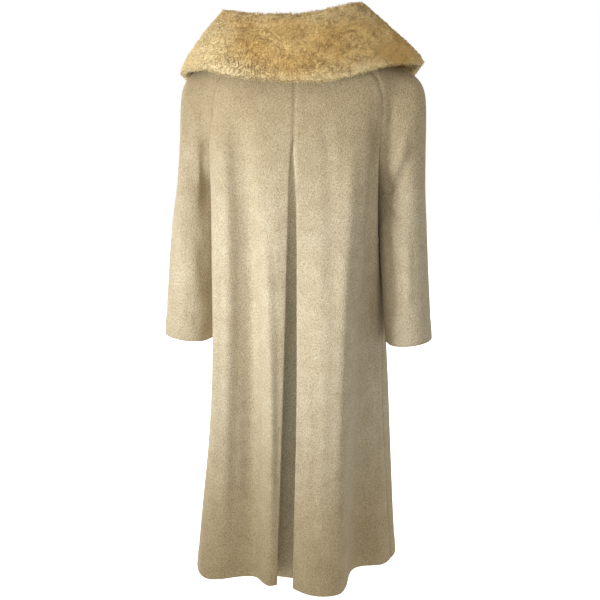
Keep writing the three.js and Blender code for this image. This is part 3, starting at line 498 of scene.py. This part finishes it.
# The pleat underlay is a long strip of the same wool behind the centre back. Its sides are sewn to the
# inner edges of the two pleat folds. Its wool is painted paler and greyer, painted light that lifts the shade
# inside the pleat.
UNDERLAY_TOP = (-0.204, -0.183)
UNDERLAY_TOP_SHIFT = (0.0, -0.0022, 0.022)
points = turn_up(points_of(cloth["pleat_underlay"]), low_edge("pleat_underlay", -1.0))
top = step(points[:, 2], *UNDERLAY_TOP)
# Its top goes up behind the point where the pleat opens.
points += top[:, None] * np.array(UNDERLAY_TOP_SHIFT)
# Painted light: a paler, greyer copy of the wool for the shaded underlay.
pleat_lit_wool = looped_wool("pleat_lit_wool", (1.22, 1.28, 1.38), (1.36, 1.44, 1.56))
finish_cloth("pleat_underlay", hang(points), pleat_lit_wool)

# The sleeves are raglans in two halves, sewn along the overarm and underarm, set on seams that run from
# the neck to the armpit. They hang straight, with drag lines at the armpit and soft breaks at the elbow.
LEFT_ARM_FOLDS = [
    ("back", 0.042, -0.0064, [
        (0.184, -0.11), (0.191, -0.20), (0.197, -0.28),
        (0.202, -0.37), (0.203, -0.46), (0.203, -0.56),
    ]),
    ("back", 0.030, -0.0032, [(0.214, -0.19), (0.222, -0.27), (0.226, -0.36), (0.220, -0.45)]),
    ("back", 0.022, -0.0044, [(0.190, -0.16), (0.196, -0.22), (0.200, -0.29), (0.201, -0.35)]),
    ("back", 0.020, -0.0018, [(0.236, -0.22), (0.226, -0.26), (0.216, -0.28)]),
    ("back", 0.022, 0.0040, [(0.243, -0.12), (0.252, -0.23), (0.257, -0.34), (0.258, -0.46)]),
    ("back", 0.012, -0.0020, [(0.232, -0.52), (0.240, -0.555), (0.246, -0.59)]),
    ("back", 0.012, -0.0018, [(0.230, -0.54), (0.224, -0.57), (0.221, -0.60)]),
    ("front", 0.020, -0.0040, [(0.206, -0.18), (0.214, -0.26), (0.220, -0.34)]),
    ("front", 0.016, -0.0036, [(0.214, -0.37), (0.228, -0.39), (0.244, -0.385)]),
    ("front", 0.016, -0.0026, [(0.216, -0.43), (0.230, -0.445), (0.242, -0.44)]),
]
RIGHT_ARM_FOLDS = [
    ("back", 0.017, -0.0080, [
        (-0.164, -0.288), (-0.182, -0.291), (-0.200, -0.282),
        (-0.215, -0.264), (-0.229, -0.236),
    ]),
    ("back", 0.024, 0.0055, [(-0.186, -0.250), (-0.204, -0.238), (-0.220, -0.205), (-0.226, -0.165)]),
    ("back", 0.018, -0.0050, [(-0.196, -0.09), (-0.194, -0.14), (-0.189, -0.19), (-0.184, -0.24)]),
    ("back", 0.020, -0.0050, [(-0.176, -0.318), (-0.194, -0.334), (-0.212, -0.342), (-0.232, -0.336)]),
    ("back", 0.022, -0.0044, [(-0.188, -0.35), (-0.197, -0.42), (-0.204, -0.50), (-0.206, -0.60)]),
    ("back", 0.022, 0.0030, [(-0.232, -0.38), (-0.236, -0.46), (-0.240, -0.56)]),
    ("front", 0.020, -0.0040, [(-0.200, -0.17), (-0.212, -0.25), (-0.216, -0.33)]),
    ("front", 0.016, -0.0036, [(-0.210, -0.36), (-0.226, -0.375), (-0.242, -0.37)]),
    ("front", 0.016, -0.0026, [(-0.212, -0.42), (-0.228, -0.43), (-0.240, -0.425)]),
]
for side, folds in [("left", LEFT_ARM_FOLDS), ("right", RIGHT_ARM_FOLDS)]:
    halves = ["sleeve_" + side + "_back", "sleeve_" + side + "_front"]
    arm_trees = [cut_trees[node] for node in halves]
    cuff_edge = [point for node in halves for point in low_edge(node, -0.5)]
    for node in halves:
        points = sew(node, SEWN_TO[node])
        points = crease(points, folds, arm_trees)
        points = turn_up(points, cuff_edge)
        finish_cloth(node, hang(points))

# The collar is a broad shawl of golden sheared lambskin, its pile on both faces. The hide is rolled at
# the edge, stands at the neck and falls over the shoulders, and its pile parts in short wavy furrows.
HIDE_DEPTH = 0.0034
collar = smooth_wall("collar_fur", 3)
collar_points = points_of(collar)
collar_ways = np.empty(len(collar.vertices) * 3)
collar.vertices.foreach_get("normal", collar_ways)
collar_ways = collar_ways.reshape(-1, 3)
first_point = np.cumsum([0] + [len(cloth[node].vertices) for node in CLOTH_PIECES]).tolist()
wool_tree = BVHTree.FromPolygons(
    [vertex.co[:] for node in CLOTH_PIECES for vertex in cloth[node].vertices],
    [
        [start + index for index in face.vertices]
        for node, start in zip(CLOTH_PIECES, first_point)
        for face in cloth[node].polygons
    ],
)


def clear_of_wool(points, most):
    """How far each point is from the cloth, up to most."""
    hits = [wool_tree.find_nearest(Vector(point), most) for point in points]
    return np.array([most if hit[0] is None else hit[3] for hit in hits])


clear = clear_of_wool(collar_points, 0.06)
corner = np.array([face.vertices[:3] for face in collar.polygons])
face_area = np.empty(len(collar.polygons))
collar.polygons.foreach_get("area", face_area)
face_clear = clear[corner].mean(axis=1)
COVERED_SHARE = 0.15
wanted = face_area * (COVERED_SHARE + (1.0 - COVERED_SHARE) * step(face_clear, 0.002, 0.012))


def roots(count, chance):
    """Places where pile grows, thick where it shows and thin where the collar lies on the cloth."""
    faces = chance.choice(len(wanted), size=count, p=wanted / wanted.sum())
    u, v = chance.random(count), chance.random(count)
    over = u + v > 1.0
    u[over], v[over] = 1.0 - u[over], 1.0 - v[over]
    a, b, c = (collar_points[corner[faces, k]] for k in range(3))
    return a + (b - a) * u[:, None] + (c - a) * v[:, None], collar_ways[corner[faces, 0]], face_clear[faces]


def lay_of(points_at, ways):
    """The way the pile leans: down and away from the neck on the fall, up and over inside the stand."""
    away = outward(points_at)
    lean = away * 0.55 + np.array((0.0, 0.0, -0.75))
    inside = (ways * away).sum(axis=1) < -0.25
    lean[inside] = np.array((0.0, 0.0, 0.9))
    lean -= ways * (lean * ways).sum(axis=1)[:, None]
    return lean / np.maximum(np.linalg.norm(lean, axis=1, keepdims=True), 1e-6)


def staple_place(point):
    """Where a point lies among the staples of pile: bent a little, and drawn together up and down, so
    that the cracks between staples are wavy and mostly run round the shoulders."""
    x, y, z = point
    bend = noise.noise_vector(Vector((x * 55.0, y * 55.0, z * 55.0)))
    return Vector((x + bend.x * 0.004, y + bend.y * 0.004, (z + bend.z * 0.003) * 1.55))


# The pile grows in staples, tufts about 9 mm across whose hairs all lean one way. Both seeds are fixed,
# so that every run grows the same pile.
noise.seed_set(11)
chance = np.random.default_rng(11)
STAPLES = 4600
STAPLE_LEAN = 0.0018
staple_at = roots(STAPLES, chance)[0]
staple_tree = kdtree.KDTree(STAPLES)
for index, point in enumerate(staple_at):
    staple_tree.insert(staple_place(point), index)
staple_tree.balance()
staple_lean = (chance.random((STAPLES, 3)) - 0.5) * STAPLE_LEAN
staple_tone = 0.95 + 0.10 * chance.random(STAPLES)


def staples_of(points_at):
    """For each point its staple, and how near it is to the crack beside the next one, from 0 to 1."""
    owner = np.empty(len(points_at), dtype=int)
    crack = np.empty(len(points_at))
    for index, point in enumerate(points_at):
        (_, first, near), (_, _, next_near) = staple_tree.find_n(staple_place(point), 2)
        owner[index] = first
        crack[index] = next_near - near
    return owner, 1.0 - step(crack, 0.0, 0.0036)


def open_share(points_at):
    """How far the cracks stand open: most in the middle of the collar, and nearly shut in places."""
    wave = np.array([noise.noise(Vector((x * 34.0, y * 34.0, z * 52.0))) for x, y, z in points_at])
    middle = 1.0 - step(np.abs(points_at[:, 0] + 0.01), 0.10, 0.23)
    return (0.40 + 0.60 * step(wave, -0.20, 0.30)) * (0.30 + 0.70 * middle)


hide_owner, hide_crack = staples_of(collar_points)
hide_crack = hide_crack * open_share(collar_points)
sunk = HIDE_DEPTH * step(clear, 0.0, 0.012) + 0.0005
hide = collar_points - collar_ways * (sunk * (0.55 + 0.75 * hide_crack))[:, None]
collar.vertices.foreach_set("co", hide.ravel())
collar.update()


def pile_tone_light_and_shade(points_at, owner, tips, depth):
    """The fur's colour at each point: gold in the middle of the collar, paler on its rolled edge and its
    roll, paler at its left end as a painted highlight, honey at some tips of the pile, and brown down in the
    cracks, deeper root colour with painted shade."""
    gold = np.array((0.800, 0.560, 0.225))
    honey = np.array((0.940, 0.730, 0.350))
    cream = np.array((1.000, 0.885, 0.590))
    root = np.array((0.400, 0.250, 0.090))
    wave = np.array([noise.noise(Vector((x * 13.0 + 4.0, y * 13.0, z * 16.0))) for x, y, z in points_at])
    edge = 1.0 - step(clear_of_wool(points_at, 0.05), 0.020, 0.036)
    # Painted highlight: the left end of the collar, on the lamp's side, is made paler.
    edge = np.maximum(edge, 0.85 * step(points_at[:, 0], 0.08, 0.20))
    edge = np.maximum(edge, 0.50 * step(points_at[:, 2], 0.045, 0.075))[:, None]
    blend = step(wave, -0.5, 0.5)[:, None]
    tone = gold * (1.0 - blend) + honey * blend
    tone = tone * (1.0 - edge) + cream * edge
    tone = tone * (1.0 - 0.30 * tips[:, None]) + honey * 1.10 * (0.30 * tips[:, None])
    tone = tone * staple_tone[owner][:, None]
    # Browner down in the cracks: deeper root colour with painted shade.
    tone = tone * (1.0 - depth[:, None]) + root * depth[:, None]
    return np.hstack([tone, open_share(points_at)[:, None]])


def paint(mesh, tones):
    layer = mesh.color_attributes.new("pile_tone_light_and_shade", "FLOAT_COLOR", "POINT")
    layer.data.foreach_set("color", tones.ravel())


def lamb_pile():
    """Soft dull pile. It parts in fine wavy lines painted a darker, deeper gold, root colour with painted
    shade in the partings, mostly in the middle of the collar, finer streaks break up the colour laid on each
    hair, and its rim catches the light."""
    pile = bpy.data.materials.new("lamb_pile")
    pile.use_nodes = True
    nodes, links = pile.node_tree.nodes, pile.node_tree.links
    laid = nodes.new("ShaderNodeVertexColor")
    laid.layer_name = "pile_tone_light_and_shade"
    place = nodes.new("ShaderNodeTexCoord").outputs["Object"]
    flat = nodes.new("ShaderNodeVectorMath")
    flat.operation = "MULTIPLY"
    links.new(place, flat.inputs[0])
    flat.inputs[1].default_value = (0.75, 0.75, 1.5)
    wave = nodes.new("ShaderNodeTexNoise")
    wave.inputs["Scale"].default_value = 150.0
    wave.inputs["Detail"].default_value = 2.5
    wave.inputs["Roughness"].default_value = 0.6
    wave.inputs["Distortion"].default_value = 0.7
    links.new(flat.outputs["Vector"], wave.inputs["Vector"])
    off_line = nodes.new("ShaderNodeMath")
    off_line.operation = "SUBTRACT"
    links.new(wave.outputs["Fac"], off_line.inputs[0])
    off_line.inputs[1].default_value = 0.5
    from_line = nodes.new("ShaderNodeMath")
    from_line.operation = "ABSOLUTE"
    links.new(off_line.outputs["Value"], from_line.inputs[0])
    parting = nodes.new("ShaderNodeMapRange")
    parting.interpolation_type = "SMOOTHSTEP"
    parting.inputs["From Min"].default_value = 0.040
    parting.inputs["From Max"].default_value = 0.0
    links.new(from_line.outputs["Value"], parting.inputs["Value"])
    shown = nodes.new("ShaderNodeMath")
    shown.operation = "MULTIPLY"
    links.new(parting.outputs["Result"], shown.inputs[0])
    links.new(laid.outputs["Alpha"], shown.inputs[1])
    # Painted shade: the partings are multiplied darker, over the deeper root colour.
    parting_shade = nodes.new("ShaderNodeMix")
    parting_shade.data_type = "RGBA"
    parting_shade.blend_type = "MULTIPLY"
    parting_shade.inputs[7].default_value = (0.60, 0.47, 0.30, 1.0)
    links.new(shown.outputs["Value"], parting_shade.inputs["Factor"])
    links.new(laid.outputs["Color"], parting_shade.inputs[6])
    streaks = nodes.new("ShaderNodeTexNoise")
    streaks.inputs["Scale"].default_value = 520.0
    streaks.inputs["Detail"].default_value = 3.0
    links.new(place, streaks.inputs["Vector"])
    band = nodes.new("ShaderNodeValToRGB")
    band.color_ramp.elements[0].position = 0.30
    band.color_ramp.elements[0].color = (0.93, 0.91, 0.87, 1.0)
    band.color_ramp.elements[1].position = 0.70
    band.color_ramp.elements[1].color = (1.05, 1.05, 1.04, 1.0)
    links.new(streaks.outputs["Fac"], band.inputs["Fac"])
    broken = nodes.new("ShaderNodeMix")
    broken.data_type = "RGBA"
    broken.blend_type = "MULTIPLY"
    broken.inputs["Factor"].default_value = 1.0
    links.new(parting_shade.outputs[2], broken.inputs[6])
    links.new(band.outputs["Color"], broken.inputs[7])
    relief = nodes.new("ShaderNodeBump")
    relief.inputs["Strength"].default_value = 0.5
    relief.inputs["Distance"].default_value = 0.0008
    links.new(streaks.outputs["Fac"], relief.inputs["Height"])
    opened = nodes.new("ShaderNodeBump")
    opened.invert = True
    opened.inputs["Strength"].default_value = 0.6
    opened.inputs["Distance"].default_value = 0.0016
    links.new(shown.outputs["Value"], opened.inputs["Height"])
    links.new(relief.outputs["Normal"], opened.inputs["Normal"])
    shader = nodes["Principled BSDF"]
    links.new(broken.outputs[2], shader.inputs["Base Color"])
    links.new(opened.outputs["Normal"], shader.inputs["Normal"])
    shader.inputs["Roughness"].default_value = 0.85
    shader.inputs["Specular IOR Level"].default_value = 0.2
    shader.inputs["Sheen Weight"].default_value = 0.55
    shader.inputs["Sheen Roughness"].default_value = 0.40
    shader.inputs["Sheen Tint"].default_value = (1.0, 0.93, 0.78, 1.0)
    return pile


pile = lamb_pile()
# The hide is painted browner in its cracks: root colour with painted shade.
paint(collar, pile_tone_light_and_shade(hide, hide_owner, np.zeros(len(hide)), np.clip(0.02 + 0.20 * hide_crack, 0.0, 0.9)))
collar.materials.append(pile)
hide_piece = bpy.data.objects.new("collar_hide", collar)
bpy.context.scene.collection.objects.link(hide_piece)
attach(hide_piece, "root")
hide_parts("collar_fur")

# The hairs of the pile: tens of thousands, short, tapered and a little crimped. Those of one staple
# lean together, so the staples stand as soft tufts with faint cracks between them.
HAIRS_EACH = 21500
HAIR_SIDES = 3
HAIR_RADIUS = 0.00046
HAIR_LIFT = 0.0041
HAIR_LEAN = 0.0050
HAIR_SPREAD = 0.0008
HAIR_CRIMP = 0.0010


def grow(name, count, seed, thick):
    """One mesh of hairs, each from its root in the hide to its tip."""
    chance = np.random.default_rng(seed)
    at, ways, room_for = roots(count, chance)
    owner, crack = staples_of(at)
    crack = (crack * open_share(at))[:, None]
    lay = lay_of(at, ways)
    reach = step(room_for, 0.001, 0.010)[:, None]
    root = at - ways * (HIDE_DEPTH + 0.0006) * reach
    inward = staple_at[owner] - at
    inward -= ways * (inward * ways).sum(axis=1)[:, None]
    lift = HAIR_LIFT * (0.92 + 0.16 * chance.random((count, 1))) * (1.0 - 0.35 * crack)
    tip = (
        root
        + (ways * lift + lay * HAIR_LEAN + staple_lean[owner] + inward * (0.06 + 0.10 * crack)) * reach
        + (chance.random((count, 3)) - 0.5) * HAIR_SPREAD
    )
    crimp = (chance.random((count, 3)) - 0.5) * HAIR_CRIMP
    middle = root * 0.46 + tip * 0.54 + (ways * 0.0012 + crimp) * reach
    along = tip - root
    along /= np.maximum(np.linalg.norm(along, axis=1, keepdims=True), 1e-6)
    across = np.cross(along, ways)
    across /= np.maximum(np.linalg.norm(across, axis=1, keepdims=True), 1e-6)
    up = np.cross(across, along)
    girth = thick * (0.75 + 0.5 * chance.random((count, 1)))
    rings = []
    for place, share in ((root, 1.0), (middle, 0.85)):
        for k in range(HAIR_SIDES):
            angle = 2.0 * math.pi * k / HAIR_SIDES
            rings.append(place + (across * math.cos(angle) + up * math.sin(angle)) * girth * share)
    rings.append(tip)
    per = len(rings)
    points_at = np.stack(rings, axis=1).reshape(-1, 3)
    faces = []
    for k in range(HAIR_SIDES):
        a, b = k, (k + 1) % HAIR_SIDES
        up_a, up_b = a + HAIR_SIDES, b + HAIR_SIDES
        faces += [(a, b, up_b), (a, up_b, up_a), (up_a, up_b, per - 1)]
    all_faces = (np.array(faces)[None, :, :] + (np.arange(count) * per)[:, None, None]).reshape(-1, 3)
    mesh = bpy.data.meshes.new(name)
    mesh.vertices.add(len(points_at))
    mesh.vertices.foreach_set("co", points_at.ravel())
    mesh.loops.add(all_faces.size)
    mesh.loops.foreach_set("vertex_index", all_faces.ravel().astype(np.int32))
    mesh.polygons.add(len(all_faces))
    mesh.polygons.foreach_set("loop_start", np.arange(0, all_faces.size, 3, dtype=np.int32))
    mesh.update(calc_edges=True)
    mesh.validate()
    mesh.shade_smooth()
    # Hairs beside a crack are painted browner: root colour with painted shade.
    tones = pile_tone_light_and_shade(at, owner, chance.random(count), 0.14 * crack[:, 0])
    tones[:, :3] *= (0.95 + 0.10 * chance.random((count, 1)))
    tones = np.repeat(tones, per, axis=0)
    # Each hair is darker at its root and paler at its tip: the hair's own colour with painted shade low in
    # the pile.
    shade = np.tile([0.96] * HAIR_SIDES + [1.02] * HAIR_SIDES + [1.06], count)[:, None]
    tones[:, :3] *= shade
    paint(mesh, tones)
    mesh.materials.append(pile)
    piece = bpy.data.objects.new(name, mesh)
    bpy.context.scene.collection.objects.link(piece)
    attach(piece, "root")
    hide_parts("collar_fur")
    return piece


hairs = [
    grow(name, HAIRS_EACH, seed, HAIR_RADIUS)
    for name, seed in [("fur_hairs_1", 21), ("fur_hairs_2", 22), ("fur_hairs_3", 23)]
]
